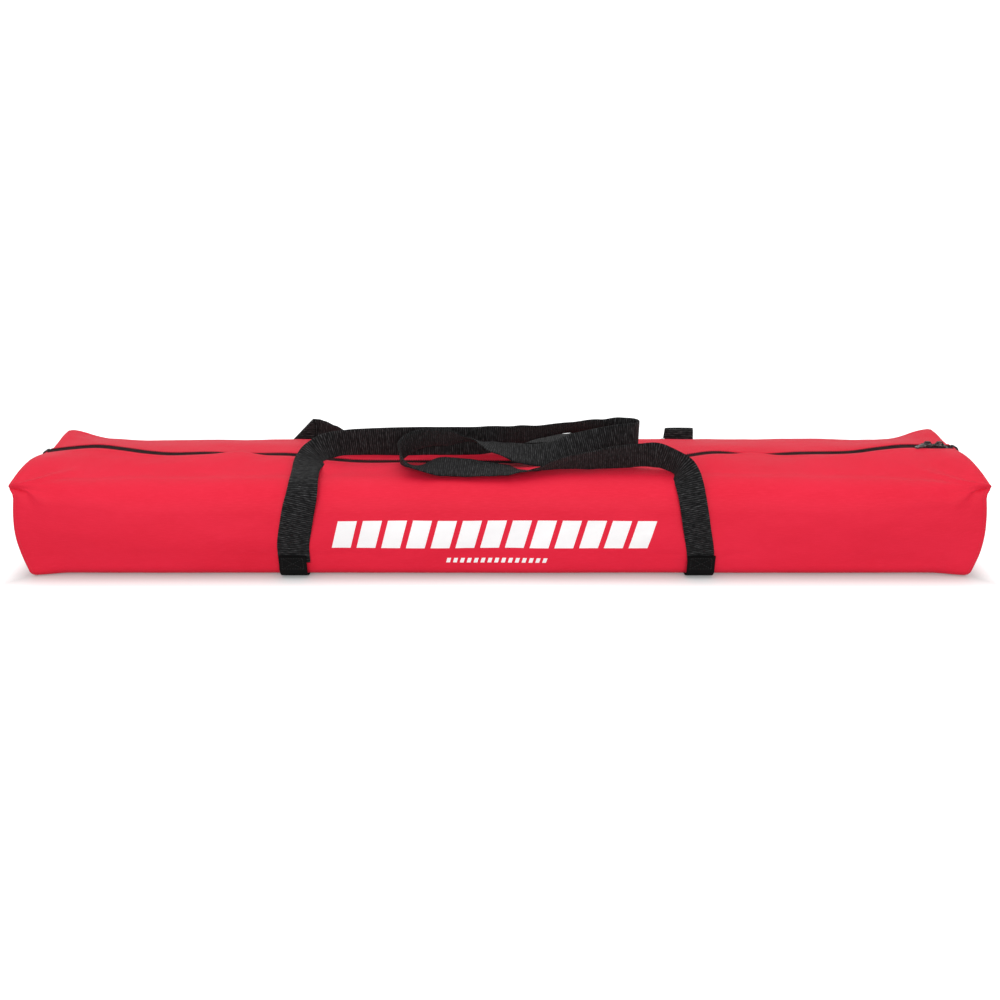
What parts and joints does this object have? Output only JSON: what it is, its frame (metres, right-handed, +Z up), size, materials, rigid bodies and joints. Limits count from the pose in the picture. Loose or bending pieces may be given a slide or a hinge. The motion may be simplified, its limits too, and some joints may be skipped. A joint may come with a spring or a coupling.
{
  "type": "pickleball portable net in a carry bag",
  "caption": "Long red zipped carry bag with black webbing handles, holding the tubes, sockets and folded net of a portable net.",
  "frame": {"origin": "middle of the base, on the surface that the bag rests on", "axes": "+X along the bag to the end where the zip sliders are parked, +Y to the rear, +Z up"},
  "size_m": [1.102, 0.1752, 0.1664],
  "materials": {
    "red_cloth": "plain-weave polyester",
    "black_webbing": "ribbed polypropylene webbing",
    "zip_tape": "woven tape",
    "zip_coil": "moulded nylon coil",
    "zip_metal": "black, worn at the edges",
    "steel_tube": "black powder coat",
    "black_plastic": "moulded nylon",
    "black_rubber": "matt",
    "spring_steel": "bright",
    "net_mesh": "knotless polyester net",
    "white_tape": "coated cloth band"
  },
  "bodies": {
    "bag": {"body_panel": "red_cloth", "end_panel_left": "red_cloth", "end_panel_right": "red_cloth", "top_flap_front": "red_cloth", "top_flap_rear": "red_cloth", "zip_tape_front": "zip_tape", "zip_tape_rear": "zip_tape", "zip_coil_front": "zip_coil", "zip_coil_rear": "zip_coil", "zip_stop_left": "zip_metal", "zip_stop_right": "zip_metal", "girth_strap_left": "black_webbing", "girth_strap_right": "black_webbing", "strap_end_patches": "black_webbing", "net_tie_1": "black_webbing", "net_tie_2": "black_webbing", "base_rail_1": "steel_tube", "base_rail_2": "steel_tube", "base_rail_3": "steel_tube", "base_rail_4": "steel_tube", "base_rail_5": "steel_tube", "base_rail_6": "steel_tube", "upright_left": "steel_tube", "upright_right": "steel_tube", "centre_post": "steel_tube", "foot_bar_1": "steel_tube", "foot_bar_2": "steel_tube", "foot_bar_3": "steel_tube", "foot_bar_4": "steel_tube", "centre_foot_bar": "steel_tube", "upright_cap_left": "black_plastic", "upright_cap_right": "black_plastic", "centre_post_cap": "black_plastic", "side_base_left": "black_plastic", "side_base_right": "black_plastic", "centre_base": "black_plastic", "foot_end_caps": "black_rubber", "net_pack": "net_mesh", "net_top_tape": "white_tape"},
    "slider_left": {"slider_left": "zip_metal"},
    "slider_right": {"slider_right": "zip_metal"},
    "pull_left": {"pull_left": "zip_metal"},
    "pull_right": {"pull_right": "zip_metal"},
    "front_handle": {"front_handle": "black_webbing"},
    "rear_handle": {"rear_handle": "black_webbing"},
    "snap_button_1": {"snap_button_1": "spring_steel"},
    "snap_button_2": {"snap_button_2": "spring_steel"},
    "snap_button_3": {"snap_button_3": "spring_steel"},
    "snap_button_4": {"snap_button_4": "spring_steel"},
    "snap_button_5": {"snap_button_5": "spring_steel"},
    "snap_button_6": {"snap_button_6": "spring_steel"},
    "snap_button_7": {"snap_button_7": "spring_steel"},
    "snap_button_8": {"snap_button_8": "spring_steel"}
  },
  "joints": [
    {"name": "slider_left_travel", "type": "slide", "parent": "bag", "child": "slider_left", "axis": [-1, 0, 0], "range_m": [0, 1.048]},
    {"name": "slider_right_travel", "type": "slide", "parent": "bag", "child": "slider_right", "axis": [1, 0, 0], "range_m": [0, 0.001]},
    {"name": "pull_left_flip", "type": "hinge", "parent": "slider_left", "child": "pull_left", "pos_m": [0.517, 0, 0.12915], "axis": [0, 1, 0], "range_deg": [0, 120]},
    {"name": "pull_right_flip", "type": "hinge", "parent": "slider_right", "child": "pull_right", "pos_m": [0.5314, 0, 0.12915], "axis": [0, -1, 0], "range_deg": [0, 120]},
    {"name": "front_handle_swing", "type": "hinge", "parent": "bag", "child": "front_handle", "pos_m": [0, -0.0868, 0.108], "axis": [1, 0, 0], "range_deg": [0, 170]},
    {"name": "rear_handle_swing", "type": "hinge", "parent": "bag", "child": "rear_handle", "pos_m": [0, 0.0868, 0.108], "axis": [-1, 0, 0], "range_deg": [0, 170]},
    {"name": "button_1_press", "type": "slide", "parent": "bag", "child": "snap_button_1", "axis": [0, 0, -1], "range_m": [0, 0.0035], "stiffness_N_per_m": 1200},
    {"name": "button_2_press", "type": "slide", "parent": "bag", "child": "snap_button_2", "axis": [0, 0, -1], "range_m": [0, 0.0035], "stiffness_N_per_m": 1200},
    {"name": "button_3_press", "type": "slide", "parent": "bag", "child": "snap_button_3", "axis": [0, 0, -1], "range_m": [0, 0.0035], "stiffness_N_per_m": 1200},
    {"name": "button_4_press", "type": "slide", "parent": "bag", "child": "snap_button_4", "axis": [0, 0, -1], "range_m": [0, 0.0035], "stiffness_N_per_m": 1200},
    {"name": "button_5_press", "type": "slide", "parent": "bag", "child": "snap_button_5", "axis": [0, 0, -1], "range_m": [0, 0.0035], "stiffness_N_per_m": 1200},
    {"name": "button_6_press", "type": "slide", "parent": "bag", "child": "snap_button_6", "axis": [0, 0, -1], "range_m": [0, 0.0035], "stiffness_N_per_m": 1200},
    {"name": "button_7_press", "type": "slide", "parent": "bag", "child": "snap_button_7", "axis": [0, 0, -1], "range_m": [0, 0.0035], "stiffness_N_per_m": 1200},
    {"name": "button_8_press", "type": "slide", "parent": "bag", "child": "snap_button_8", "axis": [0, 0, -1], "range_m": [0, 0.0035], "stiffness_N_per_m": 1200}
  ]
}
